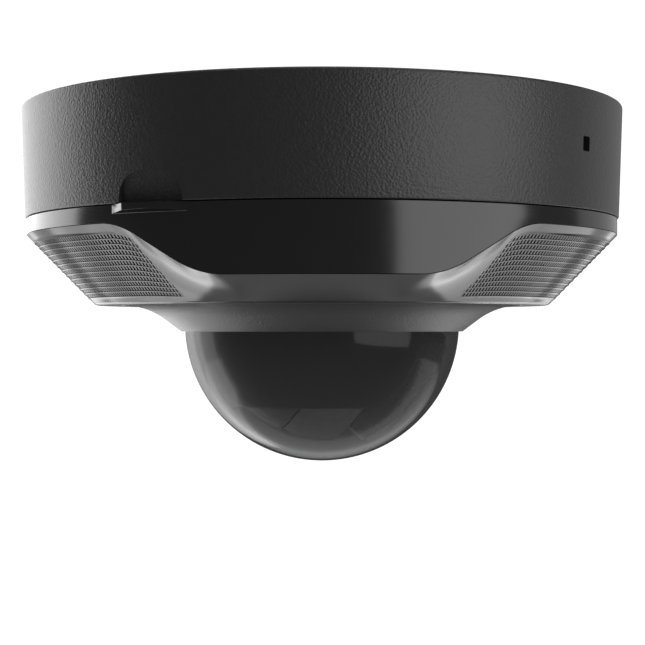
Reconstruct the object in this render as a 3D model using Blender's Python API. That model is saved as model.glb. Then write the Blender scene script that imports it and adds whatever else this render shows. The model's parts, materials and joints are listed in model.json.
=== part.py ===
"""Ceiling dome camera: a round housing, a removable cover with a smoked dome, and an aimable eyeball.

Lengths are millimetres in this file, turned into metres when the meshes are made.  The origin is
the centre of the ceiling face, +Z points up into the ceiling, and everything hangs below z = 0.
Bearings are degrees, counted from the front (-Y) towards +X.
"""
import math

import bmesh
import bpy
from mathutils import Matrix, Vector

MM = 0.001
GAP = 0.3                       # between neighbouring pieces that touch

# Housing: a shallow drum against the ceiling
HOUSING_RADIUS = 60.0
HOUSING_FOOT_RADIUS = 59.27
HOUSING_DEPTH = 21.8
HOUSING_INSIDE_RADIUS = 55.9
FLOOR_THICKNESS = 2.4
TOP_EDGE = 0.6
CABLE_HOLE_RADIUS = 8.0
CABLE_HOLE_Y = 24.0
CEILING_SCREW_CIRCLE = 49.0
CEILING_SCREW_HOLE = 1.9
SCOOP_BEARING = -29.95          # thumb scoop above the seam
SCOOP_HALF_WIDTH = 6.7
SCOOP_HEIGHT = 5.7
SCOOP_SLOPE = 15.0
WINDOW_BEARING = 53.3           # small window in front of the release latch
WINDOW_WIDTH = 2.5
WINDOW_HEIGHT = 2.7
WINDOW_Z = -10.1

# Cover: a band below the seam, and the sloping grille ring under it
SEAM_GAP = 0.35
BAND_TOP = -HOUSING_DEPTH - SEAM_GAP
BAND_RADIUS = 58.8
BAND_THICKNESS = 2.0
LIP_RADIUS = 53.4
LIP_TOP = -22.5
LIP_FOOT = -23.8
SIDE_EDGE_Z = -25.1             # where the grille slopes start
FRONT_EDGE_Z = -34.4            # where the front and back panels end
PANEL_HALF_ANGLE = 20.5         # the panel's lower corner
SIDE_START_ANGLE = 37.0         # the panel's upper corner
UNDERSIDE_Z = -38.9
UNDERSIDE_RADIUS = 45.5
TRIM_OPENING_RADIUS = 40.3
TAB_OUT = 2.4                   # pull tab under the thumb scoop
TAB_FOOT = -23.5
TAB_LEFT, TAB_LEFT_CORNER, TAB_RIGHT_CORNER, TAB_RIGHT = -38.3, -34.1, -24.1, -22.0

# Trim ring and dome
TRIM_RADIUS = 40.0
TRIM_MOUTH_RADIUS = 28.3
TRIM_CURVE_RADIUS = 14.0
TRIM_SLOPE = 37.0
TRIM_LEDGE_Z = -39.3
TRIM_SHELF_Z = -36.4
BALL_CENTRE_Z = -42.5
DOME_RADIUS = 27.7
DOME_WALL = 1.5
DOME_FLANGE_RADIUS = 33.2
DOME_FLANGE_TOP = -36.4
DOME_FLANGE_FOOT = -38.0
RETAINER_SCREW_CIRCLE = 35.9
RETAINER_INSIDE, RETAINER_OUTSIDE = 28.2, 37.9
RETAINER_SCREW_RADIUS = 0.95
RETAINER_SCREW_HOLE = 1.25
TRIM_WELL_RADIUS = 38.4         # the well the retainer sits in
TRIM_RIM_RADIUS = 43.0          # the rim that rests on the grille ring's shelf
TRIM_RIM_FOOT, TRIM_RIM_TOP = -37.0, -35.8
GASKET_INSIDE = 28.4
GASKET_THICKNESS = 0.7
SEAL_INSIDE = 53.6
SEAL_THICKNESS = 0.8

# Eyeball: shells turned about the lens axis, distances counted from the ball's centre
LENS_TILT = 38.0                # the lens axis at rest, below horizontal
REAR_BALL_RADIUS = 23.0
FRONT_BALL_RADIUS = 23.1
BALL_WALL = 1.6
REAR_SHELL_EDGE = 6.5
GROOVE_RADIUS = 21.3
GROOVE_START = 6.8
TEXTURE_START = 9.05
FRONT_FACE = 16.3
SLEEVE_RADIUS = 19.9
SLEEVE_START = 3.0
BARREL_RADIUS = 6.8
HOLDER_RADIUS = 8.3
FACE_THICKNESS = 1.4
BARREL_START, BARREL_END = -3.0, 22.9
BEZEL_HALF_HEIGHT = 13.2
BEZEL_HALF_WIDTH = 10.0
BEZEL_CORNER = 5.0
BEZEL_FRONT = 22.7
MOVING_LIMIT_RADIUS = 25.3      # nothing on the eyeball reaches past this, inside the dome

# Pan ring, liner and pivots
LINER_RADIUS = 24.8
LINER_WALL = 1.1
LINER_TOP = -27.0
LINER_FOOT_DROP = 16.0          # the liner's flat lower rim, below the ball's centre
LINER_ARC_RADIUS = 20.1
LINER_ARC_X = 3.5
LINER_ARC_RISE = 3.4
LINER_ARC_TOP = -1.9
LINER_SLOT_HALF_WIDTH = 15.7
LINER_SLOT_BACK = 10.0
LINER_SLOT_FOOT = -18.0         # below the rim, so the bezel's corners clear it at every roll
LINER_SLOT_TOP = 8.0
PIVOT_RADIUS = 2.0
PIVOT_CLEARANCE = 0.06
PIVOT_START, PIVOT_END = 20.6, 23.3
PAN_BORE = 25.2
PAN_NECK = 28.7
PAN_FLANGE = 31.6
PAN_FLANGE_TOP = -25.5
PAN_FOOT = -31.2
GIMBAL_BORE = 29.0
GIMBAL_RADIUS = 34.0
GIMBAL_TOP = -27.0
GIMBAL_FOOT = -31.0
GIMBAL_RIM_RADIUS = 32.1
GIMBAL_RIM_TOP = -25.2
GIMBAL_LEG_BEARINGS = (45.0, 135.0, 270.0)
GIMBAL_LEG_HALF_ANGLE = 6.5

# Electronics
BOARD_RADIUS = 44.0
BOARD_TOP = -8.0
BOARD_FOOT = -9.6
CHASSIS_RADIUS = 35.5
CHASSIS_TOP = -15.5
CHASSIS_FOOT = -17.0
STANDOFF_CIRCLE = 31.0
STANDOFF_RADIUS = 2.2
STANDOFF_BEARINGS = (0.0, 120.0, 240.0)
CHASSIS_SCREW_HOLE = 1.5
SOCKET_SIZE = (18.0, 16.0, 13.5)
SOCKET_CENTRE = (-18.0, 36.0)
CARD_SIZE = (15.0, 11.0, 0.8)
CARD_CENTRE = (-32.0, -10.0, -10.95)
SLOT_SIZE = (14.0, 14.0, 2.1)
SLOT_CENTRE = (-30.0, -10.0, -10.95)
BUTTON_PLACE = (39.0, -12.0)

ROUND_STEPS = 48
BALL_STEPS = 32
SMALL_STEPS = 12
DRILL_START = 5.0               # keeps a hole's corners off its neighbours' edges


# ---------------------------------------------------------------- helpers

def around(bearing, radius, height=0.0):
    """The point at a bearing from the front, in millimetres."""
    angle = math.radians(bearing)
    return Vector((radius * math.sin(angle), -radius * math.cos(angle), height))


def material(name, colour, roughness, metallic=0.0, alpha=1.0):
    """A Principled BSDF material."""
    made = bpy.data.materials.new(name)
    made.use_nodes = True
    shader = made.node_tree.nodes["Principled BSDF"]
    shader.inputs["Base Color"].default_value = (*colour, 1.0)
    shader.inputs["Roughness"].default_value = roughness
    shader.inputs["Metallic"].default_value = metallic
    shader.inputs["Alpha"].default_value = alpha
    return made


def finish_object(name, mesh_data, paint, parent=None):
    """Close a bmesh into a named, smooth-shaded object."""
    bmesh.ops.recalc_face_normals(mesh_data, faces=mesh_data.faces)
    mesh = bpy.data.meshes.new(name)
    mesh_data.to_mesh(mesh)
    mesh_data.free()
    mesh.shade_smooth()
    mesh.set_sharp_from_angle(angle=math.radians(32.0))
    made = bpy.data.objects.new(name, mesh)
    bpy.context.scene.collection.objects.link(made)
    if paint is not None:
        mesh.materials.append(paint)
    made.parent = parent
    return made


def sweep(name, outline, bearings, paint, full=True, parent=None, centre=(0.0, 0.0)):
    """Carry a closed (radius, height) outline around the Z axis.

    outline(bearing) gives the same number of points at every bearing.  Points at radius 0 become
    one shared vertex, and a part turn gets flat ends.
    """
    mesh_data = bmesh.new()
    rings = []
    poles = {}
    for bearing in bearings:
        ring = []
        for index, (radius, height) in enumerate(outline(bearing)):
            if radius == 0.0 and index in poles:
                ring.append(poles[index])
                continue
            place = around(bearing, radius, height) + Vector((centre[0], centre[1], 0.0))
            vertex = mesh_data.verts.new(place * MM)
            if radius == 0.0:
                poles[index] = vertex
            ring.append(vertex)
        rings.append(ring)
    count = len(rings[0])
    pairs = list(zip(rings, rings[1:]))
    if full:
        pairs.append((rings[-1], rings[0]))
    for ring, following in pairs:
        for index in range(count):
            after = (index + 1) % count
            corners = (ring[index], ring[after], following[after], following[index])
            corners = list(dict.fromkeys(corners))
            if len(corners) > 2:
                mesh_data.faces.new(corners)
    if not full:
        mesh_data.faces.new(rings[0])
        mesh_data.faces.new(rings[-1])
    return finish_object(name, mesh_data, paint, parent)


def turned(name, outline, steps, paint, parent=None, centre=(0.0, 0.0), start=0.0):
    """A full turn of one fixed outline."""
    bearings = [start + 360.0 * step / steps for step in range(steps)]
    return sweep(name, lambda bearing: outline, bearings, paint, True, parent, centre)


def arc(centre, radius, start, end, steps):
    """Points on an arc in the (radius, height) plane, angles in degrees from the outward direction."""
    points = []
    for step in range(steps + 1):
        angle = math.radians(start + (end - start) * step / steps)
        points.append((centre[0] + radius * math.cos(angle), centre[1] + radius * math.sin(angle)))
    return points


def block(name, low, high, paint, parent=None, bevel=0.0):
    """A box between two corners, with bevelled edges if asked."""
    mesh_data = bmesh.new()
    bmesh.ops.create_cube(mesh_data, size=1.0)
    size = Vector(high) - Vector(low)
    middle = (Vector(high) + Vector(low)) / 2
    for vertex in mesh_data.verts:
        vertex.co = Vector(a * b for a, b in zip(vertex.co, size)) + middle
        vertex.co *= MM
    if bevel:
        bmesh.ops.bevel(mesh_data, geom=mesh_data.edges[:], offset=bevel * MM, segments=1,
                        affect="EDGES")
    return finish_object(name, mesh_data, paint, parent)


def block_at(name, centre, size, paint, bevel=0.0):
    """A box given by its centre and size."""
    low = [middle - length / 2 for middle, length in zip(centre, size)]
    high = [middle + length / 2 for middle, length in zip(centre, size)]
    return block(name, low, high, paint, None, bevel)


def prism(name, outline, depth, paint, place, parent=None):
    """A flat (x, z) outline given a depth along Y, then moved by a matrix."""
    mesh_data = bmesh.new()
    front = [mesh_data.verts.new(Vector((x, -depth / 2, z)) * MM) for x, z in outline]
    back = [mesh_data.verts.new(Vector((x, depth / 2, z)) * MM) for x, z in outline]
    mesh_data.faces.new(front)
    mesh_data.faces.new(back)
    for index in range(len(outline)):
        after = (index + 1) % len(outline)
        mesh_data.faces.new((front[index], front[after], back[after], back[index]))
    bmesh.ops.transform(mesh_data, matrix=place, verts=mesh_data.verts)
    return finish_object(name, mesh_data, paint, parent)


def cut(target, cutter):
    """Take a cutter's shape away from an object."""
    cutter.hide_render = True
    cutter.display_type = "WIRE"
    change = target.modifiers.new("cut_" + cutter.name, "BOOLEAN")
    change.operation = "DIFFERENCE"
    change.object = cutter
    change.solver = "EXACT"


def peg_outline(radius, low, high):
    """A plain solid cylinder's outline."""
    return [(0.0, low), (radius, low), (radius, high), (0.0, high)]


def ring_outline(inner, outer, low, high):
    """A plain ring's outline."""
    return [(inner, low), (outer, low), (outer, high), (inner, high)]


def drill(target, place, radius, low, high):
    """An upright round hole."""
    name = f"drill_{target.name}_{len(target.modifiers)}"
    outline = peg_outline(radius, low, high)
    centre = (place[0], place[1])
    cut(target, turned(name, outline, SMALL_STEPS, None, target.parent, centre, DRILL_START))


def facing(bearing):
    """The matrix that turns local +X to point outwards at a bearing."""
    return Matrix.Rotation(math.radians(bearing - 90.0), 4, "Z")


def empty(name, location, rotation=(0.0, 0.0, 0.0), parent=None):
    """An empty that marks a joint's centre."""
    made = bpy.data.objects.new(name, None)
    made.location = Vector(location) * MM
    made.rotation_euler = [math.radians(value) for value in rotation]
    made.parent = parent
    bpy.context.scene.collection.objects.link(made)
    return made


# ---------------------------------------------------------------- housing

def housing_radius(height):
    """The drum narrows a little from the ceiling to the seam."""
    share = -height / HOUSING_DEPTH
    return HOUSING_RADIUS + (HOUSING_FOOT_RADIUS - HOUSING_RADIUS) * share


def make_housing(paint):
    """The drum with its floor, cable hole, screw holes, thumb scoop and latch window."""
    outline = [
        (0.0, 0.0),
        (HOUSING_RADIUS - TOP_EDGE, 0.0),
        (HOUSING_RADIUS, -TOP_EDGE),
        (HOUSING_FOOT_RADIUS, -HOUSING_DEPTH),
        (HOUSING_INSIDE_RADIUS, -HOUSING_DEPTH),
        (HOUSING_INSIDE_RADIUS, -FLOOR_THICKNESS),
        (0.0, -FLOOR_THICKNESS),
    ]
    housing = turned("base_housing", outline, ROUND_STEPS, paint)
    drill(housing, (0.0, CABLE_HOLE_Y), CABLE_HOLE_RADIUS, -2 * FLOOR_THICKNESS, FLOOR_THICKNESS)
    for quarter in range(4):
        place = around(45.0 + 90.0 * quarter, CEILING_SCREW_CIRCLE)
        drill(housing, place, CEILING_SCREW_HOLE, -2 * FLOOR_THICKNESS, FLOOR_THICKNESS)
    cut(housing, scoop_cutter())
    cut(housing, window_cutter())
    return housing


def scoop_cutter():
    """An oval peg that leans outwards and down, so the scoop is deepest at the seam."""
    length = 8.0
    mesh_data = bmesh.new()
    bmesh.ops.create_cone(mesh_data, segments=24, radius1=1.0, radius2=1.0, depth=length,
                          cap_ends=True)
    for vertex in mesh_data.verts:
        vertex.co = Vector((
            vertex.co.z + length / 2,
            vertex.co.y * SCOOP_HALF_WIDTH,
            vertex.co.x * SCOOP_HEIGHT,
        )) * MM
    lean = Matrix.Rotation(math.radians(SCOOP_SLOPE), 4, "Y")
    depth = SCOOP_HEIGHT * math.tan(math.radians(SCOOP_SLOPE))
    reach = (housing_radius(-HOUSING_DEPTH) - depth) * MM
    move = Matrix.Translation(Vector((reach, 0.0, -HOUSING_DEPTH * MM)))
    bmesh.ops.transform(mesh_data, matrix=facing(SCOOP_BEARING) @ move @ lean,
                        verts=mesh_data.verts)
    return finish_object("scoop_cutter", mesh_data, None)


def window_cutter():
    """A small box through the drum's wall."""
    outline = [
        (HOUSING_INSIDE_RADIUS - 2, WINDOW_Z - WINDOW_HEIGHT / 2),
        (HOUSING_RADIUS + 2, WINDOW_Z - WINDOW_HEIGHT / 2),
        (HOUSING_RADIUS + 2, WINDOW_Z + WINDOW_HEIGHT / 2),
        (HOUSING_INSIDE_RADIUS - 2, WINDOW_Z + WINDOW_HEIGHT / 2),
    ]
    return prism("window_cutter", outline, WINDOW_WIDTH, None, facing(WINDOW_BEARING))


def make_grommet(paint):
    """The rubber bush in the cable hole."""
    bore = 4.9
    flange = 9.4
    body = CABLE_HOLE_RADIUS - GAP
    shoulder = -FLOOR_THICKNESS - GAP
    outline = [
        (bore, -0.2),
        (body, -0.2),
        (body, shoulder),
        (flange, shoulder),
        (flange, shoulder - 1.2),
        (bore, shoulder - 1.2),
    ]
    return turned("cable_grommet", outline, 24, paint, None, (0.0, CABLE_HOLE_Y))


# ---------------------------------------------------------------- cover

def panel_edge(bearing):
    """Height of the line where the band ends and the slope begins, the same front and back."""
    off_axis = abs((bearing + 90.0) % 180.0 - 90.0)
    share = (off_axis - PANEL_HALF_ANGLE) / (SIDE_START_ANGLE - PANEL_HALF_ANGLE)
    share = min(1.0, max(0.0, share))
    return FRONT_EDGE_Z + (SIDE_EDGE_Z - FRONT_EDGE_Z) * share


def tab_reach(bearing):
    """How far the pull tab stands out at a bearing."""
    if not TAB_LEFT < bearing < TAB_RIGHT:
        return 0.0
    rise = (bearing - TAB_LEFT) / (TAB_LEFT_CORNER - TAB_LEFT)
    fall = (TAB_RIGHT - bearing) / (TAB_RIGHT - TAB_RIGHT_CORNER)
    return TAB_OUT * min(1.0, rise, fall)


def cover_bearings():
    """Even steps, with the panel corners and the pull tab's corners added."""
    bearings = {step * 360.0 / ROUND_STEPS - 180.0 for step in range(ROUND_STEPS)}
    for middle in (0.0, 180.0):
        for corner in (PANEL_HALF_ANGLE, SIDE_START_ANGLE):
            bearings.add((middle + corner + 180.0) % 360.0 - 180.0)
            bearings.add((middle - corner + 180.0) % 360.0 - 180.0)
    bearings.update((TAB_LEFT, TAB_LEFT_CORNER, TAB_RIGHT_CORNER, TAB_RIGHT))
    return sorted(bearings)


def band_outline(bearing):
    """The band's section: wall, seam lip and pull tab."""
    foot = panel_edge(bearing) + GAP / 2
    inner = BAND_RADIUS - BAND_THICKNESS
    reach = tab_reach(bearing)
    return [
        (HOUSING_FOOT_RADIUS + reach, BAND_TOP),
        (HOUSING_FOOT_RADIUS + 0.8 * reach, TAB_FOOT),
        (BAND_RADIUS, TAB_FOOT - 0.3),
        (BAND_RADIUS, foot),
        (inner, foot),
        (inner, LIP_FOOT),
        (LIP_RADIUS, LIP_FOOT),
        (LIP_RADIUS, LIP_TOP),
        (inner - 0.6, LIP_TOP),
        (inner - 0.6, BAND_TOP),
    ]


def grille_outline(bearing):
    """The grille ring's section: slope, underside and the flange behind the band."""
    edge = panel_edge(bearing) - GAP / 2
    flange_outer = BAND_RADIUS - BAND_THICKNESS - GAP
    flange_inner = flange_outer - 1.3
    wall = 2.2
    slope = (edge - UNDERSIDE_Z) / (BAND_RADIUS - UNDERSIDE_RADIUS)
    corner = edge - slope * (BAND_RADIUS - flange_inner) + wall
    shelf = UNDERSIDE_Z + 1.6
    return [
        (BAND_RADIUS, edge),
        (UNDERSIDE_RADIUS + 0.4, UNDERSIDE_Z + 0.4 * slope),
        (UNDERSIDE_RADIUS - 0.4, UNDERSIDE_Z),
        (TRIM_OPENING_RADIUS, UNDERSIDE_Z),
        (TRIM_OPENING_RADIUS, shelf),
        (UNDERSIDE_RADIUS - 0.7, shelf),
        (flange_inner, corner),
        (flange_inner, LIP_FOOT - 0.4),
        (flange_outer, LIP_FOOT - 0.4),
        (flange_outer, edge),
    ]


def make_vent_screen(name, middle, paint):
    """A thin dust screen behind one grille, following the slope's inside."""
    edge = SIDE_EDGE_Z
    slope = (edge - UNDERSIDE_Z) / (BAND_RADIUS - UNDERSIDE_RADIUS)
    clear = 2.9
    thickness = 0.6
    inner, outer = 47.0, 54.0

    def outline(bearing):
        points = []
        for radius, lift in ((inner, 0.0), (outer, 0.0), (outer, thickness), (inner, thickness)):
            points.append((radius, UNDERSIDE_Z + (radius - UNDERSIDE_RADIUS) * slope + clear + lift))
        return points

    half_span = 47.0
    steps = 16
    bearings = [middle - half_span + 2 * half_span * step / steps for step in range(steps + 1)]
    return sweep(name, outline, bearings, paint, False)


def make_latch(paint):
    """The sprung arm behind the housing's window, hooked under the band's lip."""
    back, front = 51.6, 53.0
    hook = 54.6
    pad_face = HOUSING_INSIDE_RADIUS - 0.4
    pad_top, pad_foot = -8.6, -11.4
    width = 5.0
    outline = [
        (back, pad_top),
        (pad_face, pad_top),
        (pad_face, pad_foot),
        (front, pad_foot - 0.8),
        (front, LIP_FOOT - GAP),
        (hook, LIP_FOOT - GAP),
        (hook, LIP_FOOT - 1.5),
        (back, LIP_FOOT - 1.5),
    ]
    return prism("release_latch", outline, width, paint, facing(WINDOW_BEARING))


def trim_curve(steps):
    """The trim ring's hollow face: an arc that starts level, then a straight slope."""
    slope = math.radians(TRIM_SLOPE)
    points = []
    for step in range(steps + 1):
        angle = slope * step / steps
        points.append((
            TRIM_RADIUS - TRIM_CURVE_RADIUS * math.sin(angle),
            UNDERSIDE_Z - TRIM_CURVE_RADIUS * (1.0 - math.cos(angle)),
        ))
    rest = points[-1][0] - TRIM_MOUTH_RADIUS
    points.append((TRIM_MOUTH_RADIUS, points[-1][1] - rest * math.tan(slope)))
    return points


def make_trim_ring(paint):
    """The hollow ring around the dome, with the ledge and shelf that hold the dome."""
    shelf_inner = DOME_FLANGE_RADIUS + 0.8
    outline = trim_curve(4) + [
        (TRIM_MOUTH_RADIUS, TRIM_LEDGE_Z),
        (shelf_inner, TRIM_LEDGE_Z),
        (shelf_inner, TRIM_SHELF_Z),
        (TRIM_WELL_RADIUS, TRIM_SHELF_Z),
        (TRIM_WELL_RADIUS, TRIM_RIM_TOP),
        (TRIM_RIM_RADIUS, TRIM_RIM_TOP),
        (TRIM_RIM_RADIUS, TRIM_RIM_FOOT),
        (TRIM_RADIUS, TRIM_RIM_FOOT),
    ]
    ring = turned("trim_ring", outline, ROUND_STEPS, paint)
    for third in range(3):
        place = around(60.0 + 120.0 * third, RETAINER_SCREW_CIRCLE)
        drill(ring, place, RETAINER_SCREW_HOLE, TRIM_SHELF_Z - 2.2, TRIM_SHELF_Z + 2.0)
    return ring


def make_dome(paint):
    """The smoked bubble: a half ball on a short collar with a flange."""
    inner = DOME_RADIUS - DOME_WALL
    centre = (0.0, BALL_CENTRE_Z)
    outer_arc = arc(centre, DOME_RADIUS, -90.0, 0.0, 9)
    inner_arc = arc(centre, inner, 0.0, -90.0, 9)
    outer_arc[0] = (0.0, outer_arc[0][1])
    inner_arc[-1] = (0.0, inner_arc[-1][1])
    outline = outer_arc + [
        (DOME_RADIUS, DOME_FLANGE_FOOT),
        (DOME_FLANGE_RADIUS, DOME_FLANGE_FOOT),
        (DOME_FLANGE_RADIUS, DOME_FLANGE_TOP),
        (inner, DOME_FLANGE_TOP),
    ] + inner_arc
    return turned("dome_bubble", outline, BALL_STEPS, paint)


def make_retainer(paint, screw_paint):
    """The ring and three screws that clamp the dome's flange to the trim ring."""
    foot = DOME_FLANGE_TOP + GAP
    top = foot + 1.2
    outline = ring_outline(RETAINER_INSIDE, RETAINER_OUTSIDE, foot, top)
    ring = turned("dome_retainer", outline, 36, paint)
    tip = TRIM_SHELF_Z - 1.8
    under_head = top + GAP
    head_radius, head_height = 1.7, 1.0
    for third in range(3):
        place = around(60.0 + 120.0 * third, RETAINER_SCREW_CIRCLE)
        drill(ring, place, RETAINER_SCREW_HOLE, foot - 1.0, top + 1.0)
        screw = [
            (0.0, tip),
            (RETAINER_SCREW_RADIUS, tip),
            (RETAINER_SCREW_RADIUS, under_head),
            (head_radius, under_head),
            (head_radius, under_head + head_height),
            (0.0, under_head + head_height),
        ]
        turned(f"retainer_screw_{third + 1}", screw, SMALL_STEPS, screw_paint, None,
               (place.x, place.y))
    return ring


def make_cover(paints):
    """Everything that comes away when the cover is pulled off."""
    sweep("cover_band", band_outline, cover_bearings(), paints["gloss_black"])
    sweep("grille_ring", grille_outline, cover_bearings(), paints["gloss_black"])
    make_vent_screen("vent_screen_left", -90.0, paints["steel"])
    make_vent_screen("vent_screen_right", 90.0, paints["steel"])
    make_latch(paints["nylon"])
    make_trim_ring(paints["texture_black"])
    make_dome(paints["smoked"])
    make_retainer(paints["nylon"], paints["screw"])
    gasket_top = DOME_FLANGE_FOOT - GAP
    gasket = ring_outline(GASKET_INSIDE, DOME_FLANGE_RADIUS, gasket_top - GASKET_THICKNESS,
                          gasket_top)
    turned("dome_gasket", gasket, BALL_STEPS, paints["rubber"])
    seal_foot = LIP_TOP + GAP
    seal = ring_outline(SEAL_INSIDE, HOUSING_INSIDE_RADIUS - GAP, seal_foot,
                        seal_foot + SEAL_THICKNESS)
    turned("cover_gasket", seal, ROUND_STEPS, paints["rubber"])


# ---------------------------------------------------------------- electronics

def make_standoff(number, bearing, paint, screw_paint):
    """A tapped post from the floor to the chassis plate, and its screw."""
    place = around(bearing, STANDOFF_CIRCLE)
    foot = CHASSIS_TOP + GAP
    top = -FLOOR_THICKNESS - GAP
    tapped, tapped_depth = CHASSIS_SCREW_HOLE, 4.2
    outline = [
        (0.0, top),
        (STANDOFF_RADIUS, top),
        (STANDOFF_RADIUS, foot),
        (tapped, foot),
        (tapped, foot + tapped_depth),
        (0.0, foot + tapped_depth),
    ]
    turned(f"standoff_{number}", outline, SMALL_STEPS, paint, None, (place.x, place.y))
    under_head = CHASSIS_FOOT - GAP
    shank, tip = 1.2, foot + 3.6
    head_radius, head_height = 2.6, 1.5
    screw = [
        (0.0, tip),
        (shank, tip),
        (shank, under_head),
        (head_radius, under_head),
        (head_radius, under_head - head_height),
        (0.0, under_head - head_height),
    ]
    turned(f"chassis_screw_{number}", screw, SMALL_STEPS, screw_paint, None, (place.x, place.y))


def make_board(paint):
    """The round main board, open around the cable entry and the standoffs."""
    board = turned("main_board", peg_outline(BOARD_RADIUS, BOARD_FOOT, BOARD_TOP), 48, paint)
    drill(board, (0.0, CABLE_HOLE_Y), CABLE_HOLE_RADIUS + 2.0, BOARD_FOOT - 1, BOARD_TOP + 1)
    for bearing in STANDOFF_BEARINGS:
        place = around(bearing, STANDOFF_CIRCLE)
        drill(board, place, STANDOFF_RADIUS + 0.5, BOARD_FOOT - 1, BOARD_TOP + 1)
    return board


def make_chassis(paint):
    """The plate under the board that carries the gimbal, cut back for the socket and its plug."""
    outline = ring_outline(6.0, CHASSIS_RADIUS, CHASSIS_FOOT, CHASSIS_TOP)
    plate = turned("chassis_plate", outline, 40, paint)
    for bearing in STANDOFF_BEARINGS:
        place = around(bearing, STANDOFF_CIRCLE)
        drill(plate, place, CHASSIS_SCREW_HOLE, CHASSIS_FOOT - 1, CHASSIS_TOP + 1)
    room = 0.6
    left = SOCKET_CENTRE[0] - SOCKET_SIZE[0] / 2 - room
    near = SOCKET_CENTRE[1] - SOCKET_SIZE[1] / 2 - room
    notch = block("plug_room_cutter", (left, near, CHASSIS_FOOT - 1),
                  (CHASSIS_RADIUS + 2, CHASSIS_RADIUS + 2, CHASSIS_TOP + 1), None)
    cut(plate, notch)
    return plate


def make_electronics(paints):
    """The board, what is soldered to it, and how it is held."""
    for number, bearing in enumerate(STANDOFF_BEARINGS, start=1):
        make_standoff(number, bearing, paints["steel"], paints["screw"])
    make_board(paints["board"])
    make_chassis(paints["steel"])
    under = BOARD_FOOT - GAP
    over = BOARD_TOP + GAP
    left, right, half_depth = 3.0, 17.0, 7.0
    chip_top = over + 1.5
    block("processor_chip", (left, -half_depth, over), (right, half_depth, chip_top),
          paints["chip"])
    block("thermal_pad", (left, -half_depth, chip_top + GAP),
          (right, half_depth, -FLOOR_THICKNESS - GAP), paints["rubber"])
    block("ribbon_connector", (-6.0, -18.0, under - 2.5), (6.0, -14.0, under), paints["nylon"])
    place = around(45.0, BOARD_RADIUS - 4.0)
    turned("microphone", peg_outline(2.2, under - 1.6, under), SMALL_STEPS, paints["steel"], None,
           (place.x, place.y))
    make_socket(paints["steel"], under)
    make_card(paints)
    make_button(paints, under)


def make_socket(paint, under):
    """The network socket; its mouth faces the cable entry side, +X."""
    centre = (*SOCKET_CENTRE, under - SOCKET_SIZE[2] / 2)
    socket = block_at("ethernet_socket", centre, SOCKET_SIZE, paint)
    mouth_depth, mouth_width, mouth_height = 13.0, 11.8, 8.0
    overshoot = 2.0
    face = SOCKET_CENTRE[0] + SOCKET_SIZE[0] / 2
    mouth_centre = (face + (overshoot - mouth_depth) / 2, SOCKET_CENTRE[1], centre[2])
    mouth_size = (mouth_depth + overshoot, mouth_width, mouth_height)
    mouth = block_at("mouth_cutter", mouth_centre, mouth_size, None)
    cut(socket, mouth)
    return socket


def make_card(paints):
    """The memory card in its slot; it slides out towards -X."""
    slot = block_at("card_slot", SLOT_CENTRE, SLOT_SIZE, paints["steel"])
    room = (SLOT_SIZE[0], CARD_SIZE[1] + 2 * GAP, CARD_SIZE[2] + 2 * GAP)
    blind_end = SLOT_CENTRE[0] + SLOT_SIZE[0] / 2 - 1.2
    pocket_centre = (blind_end - room[0] / 2, SLOT_CENTRE[1], SLOT_CENTRE[2])
    cut(slot, block_at("pocket_cutter", pocket_centre, room, None))
    return block_at("memory_card", CARD_CENTRE, CARD_SIZE, paints["chip"])


def make_button(paints, under):
    """The reset button and its switch body."""
    x, y = BUTTON_PLACE
    half = 3.0
    foot = under - 3.4
    body = block("button_housing", (x - half, y - half, foot), (x + half, y + half, under),
                 paints["steel"])
    drill(body, BUTTON_PLACE, 2.0, foot - 1.0, under - 1.0)
    return turned("reset_button", peg_outline(1.7, foot - 1.3, under - 1.5), SMALL_STEPS,
                  paints["nylon"], None, BUTTON_PLACE)


# ---------------------------------------------------------------- gimbal

def gimbal_outline(bearing):
    """The fixed ring's section: rim height jumps up at each leg."""
    top = GIMBAL_RIM_TOP
    for leg in GIMBAL_LEG_BEARINGS:
        if abs(bearing - leg) <= GIMBAL_LEG_HALF_ANGLE:
            top = CHASSIS_FOOT - GAP
    return [
        (GIMBAL_RADIUS, GIMBAL_FOOT),
        (GIMBAL_BORE, GIMBAL_FOOT),
        (GIMBAL_BORE, GIMBAL_TOP),
        (GIMBAL_RIM_RADIUS, GIMBAL_TOP),
        (GIMBAL_RIM_RADIUS, top),
        (GIMBAL_RADIUS, top),
    ]


def gimbal_bearings():
    """Even steps, with a close pair at each side of each leg."""
    bearings = {9.0 * step for step in range(40)}
    for leg in GIMBAL_LEG_BEARINGS:
        for side in (-1, 1):
            bearings.add(leg + side * GIMBAL_LEG_HALF_ANGLE)
            bearings.add(leg + side * (GIMBAL_LEG_HALF_ANGLE + 0.3))
    return sorted(bearings)


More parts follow.
